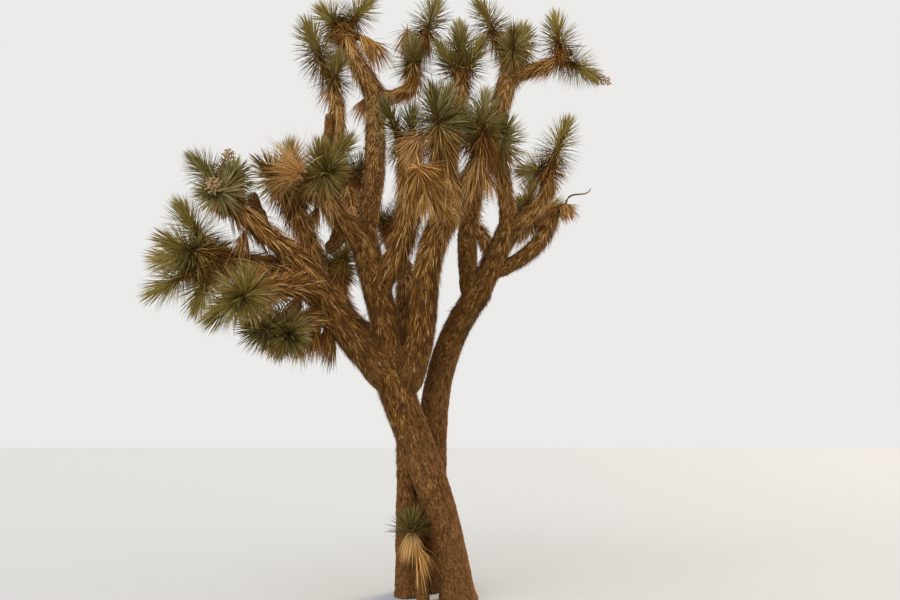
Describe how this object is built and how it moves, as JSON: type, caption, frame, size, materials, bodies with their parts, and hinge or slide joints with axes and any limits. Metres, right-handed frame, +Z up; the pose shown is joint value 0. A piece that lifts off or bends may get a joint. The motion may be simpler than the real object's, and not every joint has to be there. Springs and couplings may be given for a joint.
{
  "type": "joshua tree",
  "caption": "A tall Joshua tree of joined leaning stems that fork into shaggy crooked boughs ending in heads of stiff dagger leaves, with a young sprout at its foot.",
  "frame": {"origin": "middle of the flat cut under the trunk, at ground level", "axes": "+Z up, +X to the right and -Y towards the viewer"},
  "size_m": [5.0943, 4.3894, 7.2147],
  "materials": {
    "trunk_bark": "rough grey-brown bark broken into upright plates",
    "bough_thatch": "rough bark under a thatch of dead leaves",
    "leaves": "stiff grey-green leaves with a dull waxy skin"
  },
  "bodies": {
    "root": {"left_stem": "trunk_bark", "rear_stem": "trunk_bark", "sprout_stem": "trunk_bark", "trunk": "trunk_bark", "back_bough": "bough_thatch", "back_left_bough": "bough_thatch", "back_middle_bough": "bough_thatch", "back_right_bough": "bough_thatch", "back_upper_bough": "bough_thatch", "centre_bough": "bough_thatch", "front_bough": "bough_thatch", "front_upper_bough": "bough_thatch", "inner_back_bough": "bough_thatch", "inner_left_bough": "bough_thatch", "left_bough": "bough_thatch", "left_front_bough": "bough_thatch", "left_inner_bough": "bough_thatch", "left_low_bough": "bough_thatch", "left_outer_bough": "bough_thatch", "left_upper_bough": "bough_thatch", "middle_bough": "bough_thatch", "right_back_bough": "bough_thatch", "right_bough": "bough_thatch", "right_front_bough": "bough_thatch", "right_inner_bough": "bough_thatch", "right_low_bough": "bough_thatch", "right_middle_bough": "bough_thatch", "right_outer_bough": "bough_thatch", "slender_bough": "bough_thatch", "tall_left_bough": "bough_thatch", "tall_right_bough": "bough_thatch", "top_left_bough": "bough_thatch", "top_middle_bough": "bough_thatch", "top_right_bough": "bough_thatch", "upper_left_bough": "bough_thatch", "back_left_leaves": "leaves", "back_middle_leaves": "leaves", "back_right_leaves": "leaves", "back_upper_leaves": "leaves", "centre_leaves": "leaves", "front_leaves": "leaves", "front_upper_leaves": "leaves", "inner_back_leaves": "leaves", "inner_left_leaves": "leaves", "left_front_leaves": "leaves", "left_inner_leaves": "leaves", "left_low_leaves": "leaves", "left_outer_leaves": "leaves", "left_upper_leaves": "leaves", "right_front_leaves": "leaves", "right_inner_leaves": "leaves", "right_low_leaves": "leaves", "right_outer_leaves": "leaves", "slender_leaves": "leaves", "sprout_leaves": "leaves", "tall_right_leaves": "leaves", "top_left_leaves": "leaves", "top_middle_leaves": "leaves", "top_right_leaves": "leaves", "upper_left_leaves": "leaves"}
  },
  "joints": []
}
